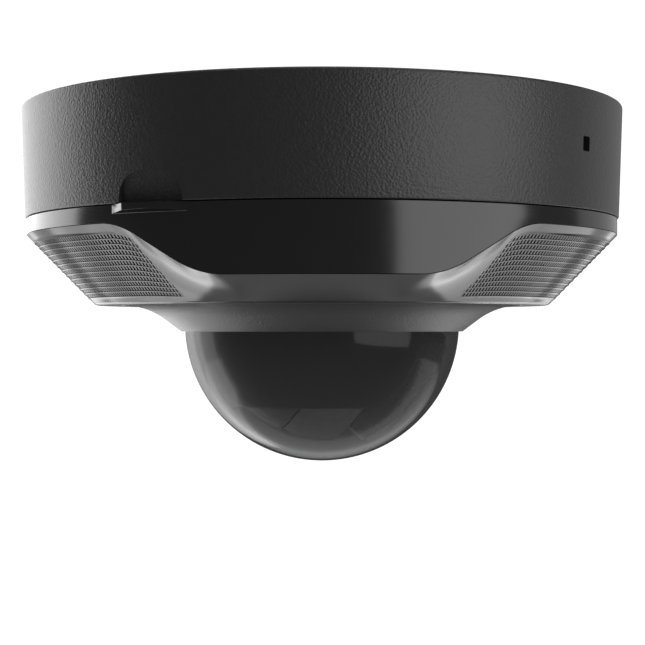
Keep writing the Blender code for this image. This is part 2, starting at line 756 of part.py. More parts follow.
def make_liner(paint, pan):
    """The dark shroud around the eyeball: a ball-ended tube, open below and in front."""
    inner = LINER_RADIUS - LINER_WALL
    top = LINER_TOP - BALL_CENTRE_Z
    outer_end = -math.degrees(math.asin(LINER_FOOT_DROP / LINER_RADIUS))
    inner_end = -math.degrees(math.asin(LINER_FOOT_DROP / inner))
    outline = [(inner, top), (LINER_RADIUS, top)]
    outline += arc((0.0, 0.0), LINER_RADIUS, 0.0, outer_end, 5)
    outline += arc((0.0, 0.0), inner, inner_end, 0.0, 5)
    liner = turned("liner", outline, BALL_STEPS, paint, pan)
    far = 2 * LINER_RADIUS
    end = math.degrees(math.asin((LINER_ARC_TOP - LINER_ARC_RISE) / LINER_ARC_RADIUS))
    mouth = arc((LINER_ARC_X, LINER_ARC_RISE), LINER_ARC_RADIUS, -90.0, end, 8)
    mouth += [(far, mouth[-1][1]), (far, -far), (LINER_ARC_X, -far)]
    cut(liner, prism("liner_mouth_cutter", mouth, 3 * LINER_RADIUS, None, Matrix(), pan))
    slot = block("liner_slot_cutter", (LINER_SLOT_BACK, -LINER_SLOT_HALF_WIDTH, LINER_SLOT_FOOT),
                 (far, LINER_SLOT_HALF_WIDTH, LINER_SLOT_TOP), None, pan)
    cut(liner, slot)
    return liner


def make_pan(paints, pan):
    """The turning ring, the liner hung in it and the two tilt pivots."""
    drop = -BALL_CENTRE_Z
    outline = [
        (PAN_NECK, PAN_FOOT + drop),
        (PAN_BORE, PAN_FOOT + drop),
        (PAN_BORE, PAN_FLANGE_TOP + drop),
        (PAN_FLANGE, PAN_FLANGE_TOP + drop),
        (PAN_FLANGE, GIMBAL_TOP + GAP + drop),
        (PAN_NECK, GIMBAL_TOP + GAP + drop),
    ]
    turned("pan_ring", outline, BALL_STEPS, paints["nylon"], pan)
    make_liner(paints["matte_black"], pan)
    for name, side in (("tilt_pivot_front", -1), ("tilt_pivot_rear", 1)):
        pivot = turned(name, peg_outline(PIVOT_RADIUS, PIVOT_START, PIVOT_END), SMALL_STEPS,
                       paints["steel"], pan)
        pivot.rotation_euler = (math.radians(-90.0 * side), 0.0, 0.0)


def make_rear_shell(paint, lens_axis):
    """The eyeball's rear shell, with the cable hole behind and a pivot hole each side."""
    cable_hole = 5.0
    inner_radius = REAR_BALL_RADIUS - BALL_WALL

    def edge_angle(radius, forward):
        return math.degrees(math.asin(forward / radius))

    def hole_angle(radius):
        return -math.degrees(math.acos(cable_hole / radius))

    outline = arc((0.0, 0.0), REAR_BALL_RADIUS, hole_angle(REAR_BALL_RADIUS),
                  edge_angle(REAR_BALL_RADIUS, REAR_SHELL_EDGE), 8)
    outline += arc((0.0, 0.0), inner_radius, edge_angle(inner_radius, REAR_SHELL_EDGE),
                   hole_angle(inner_radius), 8)
    shell = turned("ball_rear_shell", outline, BALL_STEPS, paint, lens_axis)
    reach = 2 * REAR_BALL_RADIUS
    hole = turned("pivot_cutter", peg_outline(PIVOT_RADIUS + PIVOT_CLEARANCE, -reach, reach),
                  SMALL_STEPS, None, lens_axis)
    hole.rotation_euler = (math.radians(90.0), 0.0, 0.0)
    cut(shell, hole)
    return shell


def make_front_shell(paint, lens_axis):
    """The turning front of the eyeball: sleeve, groove, textured zone and flat face."""
    inner_radius = FRONT_BALL_RADIUS - BALL_WALL
    back_face = FRONT_FACE - FACE_THICKNESS
    opening = HOLDER_RADIUS + GAP
    start = math.degrees(math.asin(TEXTURE_START / FRONT_BALL_RADIUS))
    end = math.degrees(math.asin(FRONT_FACE / FRONT_BALL_RADIUS))
    inner_end = math.degrees(math.asin(back_face / inner_radius))
    outline = [
        (SLEEVE_RADIUS, SLEEVE_START),
        (SLEEVE_RADIUS, GROOVE_START),
        (GROOVE_RADIUS, GROOVE_START),
    ]
    outline += arc((0.0, 0.0), FRONT_BALL_RADIUS, start, end, 4)
    outline += [(opening, FRONT_FACE), (opening, back_face)]
    outline += arc((0.0, 0.0), inner_radius, inner_end, start + 1.0, 3)
    outline += [(SLEEVE_RADIUS - 1.3, GROOVE_START + 1.4), (SLEEVE_RADIUS - 1.3, SLEEVE_START)]
    return turned("ball_front_shell", outline, BALL_STEPS, paint, lens_axis)


def bezel_reach(bearing):
    """Distance from the lens axis to the bezel's rounded-rectangle edge."""
    angle = math.radians(bearing)
    along_height = abs(math.sin(angle))
    along_width = abs(math.cos(angle))
    flat_height = BEZEL_HALF_HEIGHT - BEZEL_CORNER
    flat_width = BEZEL_HALF_WIDTH - BEZEL_CORNER
    by_height = BEZEL_HALF_HEIGHT / max(along_height, 1e-6)
    by_width = BEZEL_HALF_WIDTH / max(along_width, 1e-6)
    reach = min(by_height, by_width)
    if reach * along_height > flat_height and reach * along_width > flat_width:
        middle = flat_height * along_height + flat_width * along_width
        spread = middle ** 2 - flat_height ** 2 - flat_width ** 2 + BEZEL_CORNER ** 2
        reach = middle + math.sqrt(spread)
    return reach


def bezel_outline(bearing):
    """The bezel's section, rounded off in front to stay inside the dome."""
    bore = BARREL_RADIUS + 0.5
    back = FRONT_FACE + GAP
    reach = bezel_reach(bearing)
    shoulder = min(BEZEL_FRONT - 0.4, math.sqrt(MOVING_LIMIT_RADIUS ** 2 - reach ** 2))
    face_reach = min(reach - 0.5, math.sqrt(MOVING_LIMIT_RADIUS ** 2 - BEZEL_FRONT ** 2))
    middle = (reach + face_reach) / 2
    middle_forward = min(BEZEL_FRONT - 0.1, math.sqrt(MOVING_LIMIT_RADIUS ** 2 - middle ** 2))
    return [
        (bore, back),
        (reach, back),
        (reach, shoulder),
        (middle, middle_forward),
        (face_reach, BEZEL_FRONT),
        (bore, BEZEL_FRONT),
    ]


def make_lens_unit(paints, lens_axis):
    """Everything that turns about the lens axis with the eyeball's front."""
    make_front_shell(paints["texture_black"], lens_axis)
    bearings = [360.0 * step / 32 for step in range(32)]
    sweep("lens_bezel", bezel_outline, bearings, paints["matte_black"], True, lens_axis)
    barrel_bore = 5.0
    barrel = ring_outline(barrel_bore, BARREL_RADIUS, BARREL_START, BARREL_END)
    turned("lens_barrel", barrel, 24, paints["matte_black"], lens_axis)
    foot = BARREL_START - 1.7
    inner = BARREL_RADIUS + GAP
    back_face = FRONT_FACE - FACE_THICKNESS
    flange, flange_back = 14.8, back_face - 1.5
    holder = [
        (inner, foot),
        (HOLDER_RADIUS, foot),
        (HOLDER_RADIUS, flange_back),
        (flange, flange_back),
        (flange, back_face - GAP),
        (inner, back_face - GAP),
    ]
    turned("lens_holder", holder, 24, paints["nylon"], lens_axis)
    glass = barrel_bore - GAP
    lens = [(0.0, 20.4), (glass, 20.8), (glass, 21.8), (3.4, 22.5), (1.8, 22.9), (0.0, 23.0)]
    turned("front_lens", lens, 24, paints["glass"], lens_axis)
    ring_bore, ring_radius = 5.4, 9.3
    ring_back = BARREL_END + GAP
    ring = [
        (ring_bore, ring_back),
        (ring_radius, ring_back),
        (ring_radius, ring_back + 0.5),
        (ring_radius - 1.1, ring_back + 1.0),
        (ring_bore, ring_back + 1.0),
    ]
    turned("lens_ring", ring, 24, paints["gloss_black"], lens_axis)
    board_front = foot - GAP
    block("sensor_board", (-13.0, -13.0, board_front - 1.2), (13.0, 13.0, board_front),
          paints["board"], lens_axis)
    block("image_sensor", (-5.0, -4.0, foot), (5.0, 4.0, foot + 1.0), paints["chip"], lens_axis)


# ---------------------------------------------------------------- build

def main():
    """Clear the default scene and make every piece."""
    for old in list(bpy.data.objects):
        bpy.data.objects.remove(old, do_unlink=True)
    paints = {
        "matte_black": material("matte_black", (0.012, 0.012, 0.013), 0.55),
        "texture_black": material("texture_black", (0.016, 0.016, 0.017), 0.6),
        "gloss_black": material("gloss_black", (0.010, 0.010, 0.011), 0.25),
        "smoked": material("smoked", (0.05, 0.05, 0.06), 0.05, 0.0, 0.35),
        "glass": material("glass", (0.05, 0.06, 0.10), 0.05),
        "nylon": material("nylon", (0.03, 0.03, 0.03), 0.5),
        "rubber": material("rubber", (0.02, 0.02, 0.02), 0.8),
        "steel": material("steel", (0.55, 0.55, 0.56), 0.35, 1.0),
        "screw": material("screw", (0.65, 0.65, 0.66), 0.3, 1.0),
        "board": material("board", (0.02, 0.16, 0.06), 0.45),
        "chip": material("chip", (0.03, 0.03, 0.035), 0.4),
    }
    ball_centre = (0.0, 0.0, BALL_CENTRE_Z)
    pan = empty("pan_axis", ball_centre)
    lens_axis = empty("lens_axis", (0.0, 0.0, 0.0), (0.0, 90.0 + LENS_TILT, 0.0), pan)
    make_housing(paints["texture_black"])
    make_grommet(paints["rubber"])
    make_cover(paints)
    make_electronics(paints)
    sweep("gimbal_ring", gimbal_outline, gimbal_bearings(), paints["nylon"])
    make_pan(paints, pan)
    make_rear_shell(paints["matte_black"], lens_axis)
    make_lens_unit(paints, lens_axis)


main()
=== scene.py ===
import json
import math

import bmesh
import bpy
from mathutils import Matrix, Vector


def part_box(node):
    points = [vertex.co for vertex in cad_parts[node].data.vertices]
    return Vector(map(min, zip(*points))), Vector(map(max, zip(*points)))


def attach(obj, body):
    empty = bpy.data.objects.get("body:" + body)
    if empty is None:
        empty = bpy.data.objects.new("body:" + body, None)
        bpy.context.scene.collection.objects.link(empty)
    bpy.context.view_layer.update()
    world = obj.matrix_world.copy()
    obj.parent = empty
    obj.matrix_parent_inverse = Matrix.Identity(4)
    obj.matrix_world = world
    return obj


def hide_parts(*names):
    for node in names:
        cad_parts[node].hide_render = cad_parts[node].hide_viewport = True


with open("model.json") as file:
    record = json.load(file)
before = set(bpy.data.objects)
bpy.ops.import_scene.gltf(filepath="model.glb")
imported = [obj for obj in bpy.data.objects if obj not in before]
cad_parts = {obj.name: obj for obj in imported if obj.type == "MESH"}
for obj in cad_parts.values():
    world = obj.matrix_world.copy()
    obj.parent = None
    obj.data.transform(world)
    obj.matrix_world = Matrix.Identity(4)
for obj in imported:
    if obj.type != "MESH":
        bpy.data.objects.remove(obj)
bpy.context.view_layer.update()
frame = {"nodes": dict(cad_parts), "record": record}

MM = 0.001


def node_box(name):
    """A CAD node's lowest and highest corners in millimetres."""
    low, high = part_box(name)
    return Vector(low) / MM, Vector(high) / MM


# Drum
DRUM_LOW, DRUM_HIGH = node_box("base_housing")
DRUM_RADIUS = DRUM_HIGH.x
DRUM_FOOT_RADIUS = 59.27
DRUM_INSIDE = 55.9
DRUM_FOOT = DRUM_LOW.z
FLOOR_FOOT = -2.4               # underside of the plate against the ceiling
SCOOP_BEARING = -29.95
SCOOP_HALF_WIDTH, SCOOP_HEIGHT = 6.7, 5.7
SCOOP_SLOPE = 15.0              # degrees that the scoop's back leans out
SCOOP_SQUARENESS = 0.76         # 1 would be a plain oval, less has fuller corners
WINDOW_BEARING, WINDOW_Z = 53.3, -10.1
WINDOW_SIZE = (2.5, 2.7)
CABLE_HOLE = (0.0, 24.0, 8.0)   # x, y and radius
SCREW_CIRCLE, SCREW_HOLE = 49.0, 1.9

# Cover band and its pull tab
SEAM_GAP = 0.18
BAND_TOP = DRUM_FOOT - SEAM_GAP
WALL_RADIUS, BAND_INSIDE = 58.95, 56.8
LIP_TOP, LIP_FOOT, LIP_RADIUS = -22.5, -23.8, 53.4
LINE_GAP = 0.1                  # the thin line between the band and the slope
TAB_LEFT, TAB_LEFT_CORNER, TAB_RIGHT_CORNER, TAB_RIGHT = -38.3, -34.1, -24.1, -22.0
TAB_OUT, TAB_FOOT = 2.4, -23.5
TAB_FADE = 8.0                  # degrees over which the tab's right end sinks into the wall
TAB_DRAFT = 0.97                # the tab's reach at its underside, over its reach at the top
TAB_UNDERCUT, TAB_UNDERCUT_GAIN = 0.2, 0.35     # rise of the underside, and what it gains rightwards
TAB_ROOT, TAB_ROOT_END = 0.05, 0.35

# The panel's lower edge, and the slope between it and the underside
SIDE_EDGE, FRONT_EDGE = -25.1, -34.4
PANEL_ANGLE, SIDE_ANGLE = 20.5, 37.0
EDGE_WINDOW = 3.8               # degrees either side over which the panel's corners are rounded
SLOPE_WINDOW = 6.5              # the same for the slope below them, which folds more softly
SLOPE_BLEND = 1.0               # share of the slope over which the one turns into the other
UNDERSIDE = node_box("grille_ring")[0].z
UNDERSIDE_RADIUS = 45.5

# Perforated field: rows of slits between thin ribs
SOLID, SLIT, RIB = 0, 1, 2
ROWS = 12
FIELD_TOP, FIELD_FOOT = 0.116, 0.906            # share of the slope
FIELD_BORDER = 0.012                            # share of the slope that the outer ribs fade over
SHARES_ABOVE_FIELD = (0.0, 0.02, 0.05, 0.08)
SHARES_BELOW_FIELD = (0.94, 0.97)
FIELD_START_TOP, FIELD_START_FOOT = 34.9, 31.0
FIELD_MARGIN = 0.6                              # degrees of fine columns before the field starts
FIELD_FADE = 5.0                                # degrees over which the slits deepen
STRIP_STEPS = 30
COLUMN_PITCH = 0.9                              # degrees
SLIT_SHARE = 0.45                               # slit width over pitch
SLIT_LENGTH = 0.66                              # slit length over row height
SLIT_DEPTH = 1.0
WALL_SLANT = 0.03                               # degrees
RIB_HEIGHT = 0.10
RIB_CREST = 0.6                                 # share of the thin part of a row that is crest

# Trim ring
TRIM_OPENING = 40.3             # the hole in the grille ring that the trim ring fills
TRIM_RADIUS, TRIM_MOUTH = 40.0, 28.3
TRIM_ARC, TRIM_SLOPE = 14.0, 37.0               # radius of its curve, and its final slope in degrees

# Dome, liner and eyeball
BALL_Z = -42.5
DOME_RADIUS, DOME_INSIDE = 27.7, 26.2
LINER_RADIUS, LINER_INSIDE = 24.8, 23.7
REAR_RADIUS, FRONT_RADIUS = 23.0, 23.1
SHELL_WALL = 1.6
LENS_TILT = 38.0                # degrees that the lens looks down

# Surfaces
COAT_ROUGHNESS = 0.08
SMOOTHEST = 0.02                # the least roughness
PEBBLE_SOFTNESS = 0.6
FINE_NOISE_SCALE, FINE_NOISE_SHARE = 1.6, 0.8   # against the pebbles
BRUSH_HEIGHT = 0.01

# Studio
WORLD_SEEN = 1.1                # brightness that the camera sees
WORLD_LEVEL, WORLD_BELOW = 0.16, 0.25           # what reflections see, level and straight down
WORLD_BACK = 0.35               # how much of that is left towards the back


# ---------------------------------------------------------------- materials

def link(tree, source, target):
    tree.links.new(source, target)


def add(tree, kind, **inputs):
    """A node with some of its sockets set by name."""
    node = tree.nodes.new(kind)
    for name, value in inputs.items():
        node.inputs[name.replace("_", " ")].default_value = value
    return node


def surface(name, dark, light, roughness, spread=0.04, grain=300.0, coat=0.0, metallic=0.0,
            pebble=None, brushed=None):
    """A moulded or metal surface: mottled colour and roughness, with a fine procedural relief.

    grain is the mottling's scale per metre.  pebble is the (size, height) of a pebbled relief in
    millimetres, and brushed is a brushed relief's scale per metre along X, Y and Z.
    """
    made = bpy.data.materials.new(name)
    made.use_nodes = True
    tree = made.node_tree
    shader = tree.nodes["Principled BSDF"]
    shader.inputs["Metallic"].default_value = metallic
    shader.inputs["Coat Weight"].default_value = coat
    shader.inputs["Coat Roughness"].default_value = COAT_ROUGHNESS
    place = tree.nodes.new("ShaderNodeTexCoord")
    mottle = add(tree, "ShaderNodeTexNoise", Scale=grain, Detail=5.0, Roughness=0.6)
    link(tree, place.outputs["Object"], mottle.inputs["Vector"])
    colour = tree.nodes.new("ShaderNodeMix")
    colour.data_type = "RGBA"
    colour.inputs["A"].default_value = (*dark, 1.0)
    colour.inputs["B"].default_value = (*light, 1.0)
    link(tree, mottle.outputs["Fac"], colour.inputs["Factor"])
    link(tree, colour.outputs["Result"], shader.inputs["Base Color"])
    shine = add(tree, "ShaderNodeMapRange")
    shine.inputs["To Min"].default_value = max(SMOOTHEST, roughness - spread)
    shine.inputs["To Max"].default_value = roughness + spread
    link(tree, mottle.outputs["Fac"], shine.inputs["Value"])
    link(tree, shine.outputs["Result"], shader.inputs["Roughness"])
    if pebble:
        size, height = pebble
        add_relief(tree, shader, pebbles(tree, place, size), height)
    if brushed:
        add_relief(tree, shader, brush_lines(tree, place, brushed), BRUSH_HEIGHT)
    return made


def pebbles(tree, place, size):
    """Soft pebbles of a size in millimetres, roughened by finer noise."""
    cells = add(tree, "ShaderNodeTexVoronoi", Scale=1.0 / (size * MM))
    cells.feature = "SMOOTH_F1"
    cells.inputs["Smoothness"].default_value = PEBBLE_SOFTNESS
    link(tree, place.outputs["Object"], cells.inputs["Vector"])
    fine = add(tree, "ShaderNodeTexNoise", Scale=FINE_NOISE_SCALE / (size * MM), Detail=3.0)
    link(tree, place.outputs["Object"], fine.inputs["Vector"])
    both = tree.nodes.new("ShaderNodeMath")
    both.operation = "MULTIPLY_ADD"
    link(tree, fine.outputs["Fac"], both.inputs[0])
    both.inputs[1].default_value = FINE_NOISE_SHARE
    link(tree, cells.outputs["Distance"], both.inputs[2])
    return both.outputs["Value"]


def brush_lines(tree, place, scale):
    """Noise stretched into brush lines by a scale for each axis."""
    stretch = tree.nodes.new("ShaderNodeMapping")
    stretch.inputs["Scale"].default_value = scale
    link(tree, place.outputs["Object"], stretch.inputs["Vector"])
    lines = add(tree, "ShaderNodeTexNoise", Scale=1.0, Detail=4.0)
    link(tree, stretch.outputs["Vector"], lines.inputs["Vector"])
    return lines.outputs["Fac"]


def add_relief(tree, shader, heights, depth):
    """Drive a shader's normal by heights, scaled to a depth in millimetres."""
    bump = tree.nodes.new("ShaderNodeBump")
    bump.inputs["Strength"].default_value = 1.0
    bump.inputs["Distance"].default_value = depth * MM
    link(tree, heights, bump.inputs["Height"])
    link(tree, bump.outputs["Normal"], shader.inputs["Normal"])


def smoked_clear(name, tint, roughness=0.07):
    """A smoked clear wall that bends light as polycarbonate does, with a slightly uneven haze."""
    unevenness = 0.2
    made = bpy.data.materials.new(name)
    made.use_nodes = True
    tree = made.node_tree
    shader = tree.nodes["Principled BSDF"]
    shader.inputs["Base Color"].default_value = (*tint, 1.0)
    shader.inputs["IOR"].default_value = 1.49
    shader.inputs["Transmission Weight"].default_value = 1.0
    place = tree.nodes.new("ShaderNodeTexCoord")
    haze = add(tree, "ShaderNodeTexNoise", Scale=120.0, Detail=3.0)
    link(tree, place.outputs["Object"], haze.inputs["Vector"])
    spread = tree.nodes.new("ShaderNodeMapRange")
    spread.inputs["To Min"].default_value = roughness * (1.0 - unevenness)
    spread.inputs["To Max"].default_value = roughness * (1.0 + unevenness)
    link(tree, haze.outputs["Fac"], spread.inputs["Value"])
    link(tree, spread.outputs["Result"], shader.inputs["Roughness"])
    return made


def grey(value, cool=0.0):
    """A near-neutral colour; cool is the extra share of blue."""
    return (value, value, value * (1.0 + cool))


MATERIALS = {
    "housing_plastic": surface("housing_plastic", grey(0.016, 0.03), grey(0.024, 0.03), 0.42,
                               pebble=(0.48, 0.06), grain=900.0),
    "cover_gloss": surface("cover_gloss", grey(0.009, 0.05), grey(0.012, 0.05), 0.17, 0.02,
                           pebble=(2.5, 0.002), grain=200.0),
    "grille_plastic": surface("grille_plastic", grey(0.012, 0.04), grey(0.016, 0.04), 0.16, 0.02,
                              pebble=(1.5, 0.003), grain=400.0),
    "trim_plastic": surface("trim_plastic", grey(0.016, 0.03), grey(0.026, 0.03), 0.42,
                            pebble=(0.45, 0.03), grain=900.0),
    "smoked_dome": smoked_clear("smoked_dome", (0.60, 0.60, 0.61)),
    "liner_black": surface("liner_black", grey(0.010, 0.04), grey(0.014, 0.04), 0.32,
                           pebble=(0.9, 0.006), grain=500.0),
    "ball_texture": surface("ball_texture", grey(0.020, 0.04), grey(0.040, 0.04), 0.45,
                            pebble=(0.8, 0.12), grain=900.0),
    "bezel_black": surface("bezel_black", grey(0.010, 0.04), grey(0.015, 0.04), 0.28,
                           pebble=(1.2, 0.006), grain=500.0),
    "inner_nylon": surface("inner_nylon", grey(0.030), grey(0.045), 0.5, pebble=(0.8, 0.02)),
    "black_rubber": surface("black_rubber", grey(0.014), grey(0.024), 0.75, pebble=(0.5, 0.03)),
    "pad_grey": surface("pad_grey", grey(0.25), grey(0.36, 0.08), 0.8, pebble=(0.6, 0.04)),
    "screen_steel": surface("screen_steel", grey(0.04), grey(0.08), 0.4, metallic=1.0,
                            brushed=(3000.0, 3000.0, 9000.0)),
    "plated_steel": surface("plated_steel", grey(0.45), grey(0.62, 0.02), 0.3, metallic=1.0,
                            brushed=(400.0, 6000.0, 400.0)),
    "screw_steel": surface("screw_steel", grey(0.55), grey(0.7, 0.02), 0.22, metallic=1.0,
                           brushed=(5000.0, 5000.0, 500.0)),
    "circuit_board": surface("circuit_board", (0.008, 0.09, 0.03), (0.015, 0.16, 0.055), 0.35,
                             coat=0.4, grain=250.0, pebble=(1.4, 0.02)),
    "chip_black": surface("chip_black", grey(0.018), grey(0.03), 0.5, pebble=(0.3, 0.01)),
    "lens_glass": surface("lens_glass", (0.004, 0.005, 0.012), (0.010, 0.012, 0.030), 0.04, 0.01,
                          coat=1.0, grain=60.0),
}


# ---------------------------------------------------------------- mesh helpers

def around(bearing, radius, height=0.0):
    """The point at a bearing, a radius and a height."""
    angle = math.radians(bearing)
    return Vector((radius * math.sin(angle), -radius * math.cos(angle), height))


def as_object(name, mesh_data, sharp=30.0):
    """Close a bmesh into an object, shaded smooth up to an edge angle."""
    bmesh.ops.recalc_face_normals(mesh_data, faces=mesh_data.faces)
    mesh = bpy.data.meshes.new(name)
    mesh_data.to_mesh(mesh)
    mesh_data.free()
    mesh.shade_smooth()
    mesh.set_sharp_from_angle(angle=math.radians(sharp))
    made = bpy.data.objects.new(name, mesh)
    bpy.context.scene.collection.objects.link(made)
    return made


def sweep(name, outline, bearings, sharp=30.0, centre=(0.0, 0.0), full=True):
    """Carry a closed (radius, height) outline around Z; points at radius 0 are shared."""
    mesh_data = bmesh.new()
    rings = []
    poles = {}
    for bearing in bearings:
        ring = []
        for index, (radius, height) in enumerate(outline(bearing)):
            if radius == 0.0 and index in poles:
                ring.append(poles[index])
                continue
            place = around(bearing, radius, height) + Vector((*centre, 0.0))
            vertex = mesh_data.verts.new(place * MM)
            if radius == 0.0:
                poles[index] = vertex
            ring.append(vertex)
        rings.append(ring)
    pairs = list(zip(rings, rings[1:]))
    if full:
        pairs.append((rings[-1], rings[0]))
    count = len(rings[0])
    for ring, following in pairs:
        for index in range(count):
            after = (index + 1) % count
            corners = (ring[index], ring[after], following[after], following[index])
            corners = list(dict.fromkeys(corners))
            if len(corners) > 2:
                mesh_data.faces.new(corners)
    if not full:
        mesh_data.faces.new(rings[0])
        mesh_data.faces.new(rings[-1])
    return as_object(name, mesh_data, sharp)


def steps(count, start=0.0, end=360.0):
    """Even bearings, the last one left out."""
    return [start + (end - start) * step / count for step in range(count)]


def turned(name, outline, count=192, sharp=30.0, centre=(0.0, 0.0)):
    """Turn one (radius, height) outline about Z."""
    return sweep(name, lambda bearing: outline, steps(count), sharp, centre)


def arc(centre, radius, start, end, count):
    """Points on an arc in the (radius, height) plane."""
    points = []
    for step in range(count + 1):
        angle = math.radians(start + (end - start) * step / count)
        points.append((centre[0] + radius * math.cos(angle), centre[1] + radius * math.sin(angle)))
    return points


def rounded(outline, radii, count=4):
    """Round an outline's corners; radii maps a corner's index to its fillet radius."""
    most = 0.48                 # share of an edge that one fillet may take
    points = []
    total = len(outline)
    for index, corner in enumerate(outline):
        radius = radii.get(index, 0.0)
        here = Vector(corner)
        if radius <= 0.0:
            points.append(tuple(here))
            continue
        before = Vector(outline[index - 1]) - here
        after = Vector(outline[(index + 1) % total]) - here
        half = before.angle(after) / 2
        reach = min(radius / math.tan(half), before.length * most, after.length * most)
        start = here + before.normalized() * reach
        end = here + after.normalized() * reach
        for step in range(count + 1):
            share = step / count
            first = start.lerp(here, share)
            second = here.lerp(end, share)
            points.append(tuple(first.lerp(second, share)))
    return points


def cut(target, cutter):
    """Take a cutter's shape away and keep the result as the object's own mesh."""
    change = target.modifiers.new("cut", "BOOLEAN")
    change.operation = "DIFFERENCE"
    change.object = cutter
    change.solver = "EXACT"
    bake_modifiers(target)
    bpy.data.objects.remove(cutter, do_unlink=True)


def bake_modifiers(target, sharp=30.0):
    """Replace an object's mesh by its evaluated mesh."""
    graph = bpy.context.evaluated_depsgraph_get()
    mesh = bpy.data.meshes.new_from_object(target.evaluated_get(graph))
    target.modifiers.clear()
    target.data = mesh
    mesh.shade_smooth()
    mesh.set_sharp_from_angle(angle=math.radians(sharp))


def facing(bearing):
    """The matrix that turns local +X to point outwards at a bearing."""
    return Matrix.Rotation(math.radians(bearing - 90.0), 4, "Z")


def prism(name, outline, depth, place=Matrix()):
    """A flat (x, z) outline given a depth along Y, then moved by a matrix."""
    mesh_data = bmesh.new()
    front = [mesh_data.verts.new(Vector((x, -depth / 2, z)) * MM) for x, z in outline]
    back = [mesh_data.verts.new(Vector((x, depth / 2, z)) * MM) for x, z in outline]
    mesh_data.faces.new(front)
    mesh_data.faces.new(back)
    for index in range(len(outline)):
        after = (index + 1) % len(outline)
        mesh_data.faces.new((front[index], front[after], back[after], back[index]))
    bmesh.ops.transform(mesh_data, matrix=place, verts=mesh_data.verts)
    return as_object(name, mesh_data)


def peg(name, centre, radius, low, high, count=48):
    """A plain cutter cylinder."""
    outline = [(0.0, low), (radius, low), (radius, high), (0.0, high)]
    return turned(name, outline, count, 30.0, centre)


def stands_for(piece, body, slot, *nodes):
    """Finish a piece: its material, its body and the CAD nodes it replaces."""
    piece.data.materials.clear()
    piece.data.materials.append(MATERIALS[slot])
    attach(piece, body)
    if nodes:
        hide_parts(*nodes)


# ---------------------------------------------------------------- drum

def make_drum():
    """The textured drum, with its rounded top edge, thumb scoop, latch window and holes."""
    top_edge, foot_edge, inner_edge = 0.6, 0.25, 1.0
    outline = rounded([
        (0.0, 0.0),
        (DRUM_RADIUS, 0.0),
        (DRUM_FOOT_RADIUS, DRUM_FOOT),
        (DRUM_INSIDE, DRUM_FOOT),
        (DRUM_INSIDE, FLOOR_FOOT),
        (0.0, FLOOR_FOOT),
    ], {1: top_edge, 2: foot_edge, 3: foot_edge, 4: inner_edge})
    drum = turned("drum_shell", outline, 240)
    cut(drum, scoop_cutter())
    cut(drum, window_cutter())
    past = 2.0                  # how far a hole's cutter stands out of the ceiling plate
    x, y, radius = CABLE_HOLE
    cut(drum, peg("cable_cutter", (x, y), radius, FLOOR_FOOT - past, past))
    for quarter in range(4):
        place = around(45.0 + 90.0 * quarter, SCREW_CIRCLE)
        cutter = peg("screw_cutter", (place.x, place.y), SCREW_HOLE, FLOOR_FOOT - past, past, 32)
        cut(drum, cutter)
    stands_for(drum, "housing", "housing_plastic", "base_housing")


def window_cutter():
    """A bar with rounded corners that goes through the wall at the latch window."""
    corner, depth = 0.4, 16.0
    half_width, half_height = WINDOW_SIZE[0] / 2, WINDOW_SIZE[1] / 2
    outline = rounded([
        (-half_width, WINDOW_Z - half_height), (half_width, WINDOW_Z - half_height),
        (half_width, WINDOW_Z + half_height), (-half_width, WINDOW_Z + half_height),
    ], {index: corner for index in range(4)})
    place = facing(WINDOW_BEARING) @ Matrix.Translation((DRUM_RADIUS * MM, 0.0, 0.0))
    turn = Matrix.Rotation(math.radians(90.0), 4, "Z")
    return prism("window_cutter", outline, depth, place @ turn)


def scoop_cutter():
    """A round-ended peg that leans out and down, so the scoop is deepest at the seam."""
    length = 8.0
    mesh_data = bmesh.new()
    bmesh.ops.create_cone(mesh_data, segments=96, radius1=1.0, radius2=1.0, depth=length,
                          cap_ends=True)
    for vertex in mesh_data.verts:
        across = math.copysign(abs(vertex.co.y) ** SCOOP_SQUARENESS, vertex.co.y)
        rise = math.copysign(abs(vertex.co.x) ** SCOOP_SQUARENESS, vertex.co.x)
        vertex.co = Vector((
            vertex.co.z + length / 2,
            across * SCOOP_HALF_WIDTH,
            rise * SCOOP_HEIGHT,
        )) * MM
    lean = Matrix.Rotation(math.radians(SCOOP_SLOPE), 4, "Y")
    depth = SCOOP_HEIGHT * math.tan(math.radians(SCOOP_SLOPE))
    reach = Matrix.Translation(((DRUM_FOOT_RADIUS - depth) * MM, 0.0, DRUM_FOOT * MM))
    bmesh.ops.transform(mesh_data, matrix=facing(SCOOP_BEARING) @ reach @ lean,
                        verts=mesh_data.verts)
    return as_object("scoop_cutter", mesh_data)


# ---------------------------------------------------------------- cover

def off_axis(bearing):
    """Angle from the nearer of the front and back middles, 0 to 90."""
    return abs((bearing + 90.0) % 180.0 - 90.0)


def wrapped(bearing):
    """The same bearing, between -180 and 180."""
    return (bearing + 180.0) % 360.0 - 180.0


def raw_edge(bearing):
    """Height of the panel's lower edge before its corners are rounded."""
    share = (off_axis(bearing) - PANEL_ANGLE) / (SIDE_ANGLE - PANEL_ANGLE)
    return FRONT_EDGE + (SIDE_EDGE - FRONT_EDGE) * min(1.0, max(0.0, share))


def panel_edge(bearing, window=EDGE_WINDOW):
    """The panel's lower edge, with its corners rounded by averaging over a few degrees."""
    samples = 9
    total = sum(raw_edge(bearing + window * (2 * k / (samples - 1) - 1)) for k in range(samples))
    return total / samples


def eased(value):
    """A smooth step from 0 to 1."""
    value = min(1.0, max(0.0, value))
    return value * value * (3.0 - 2.0 * value)


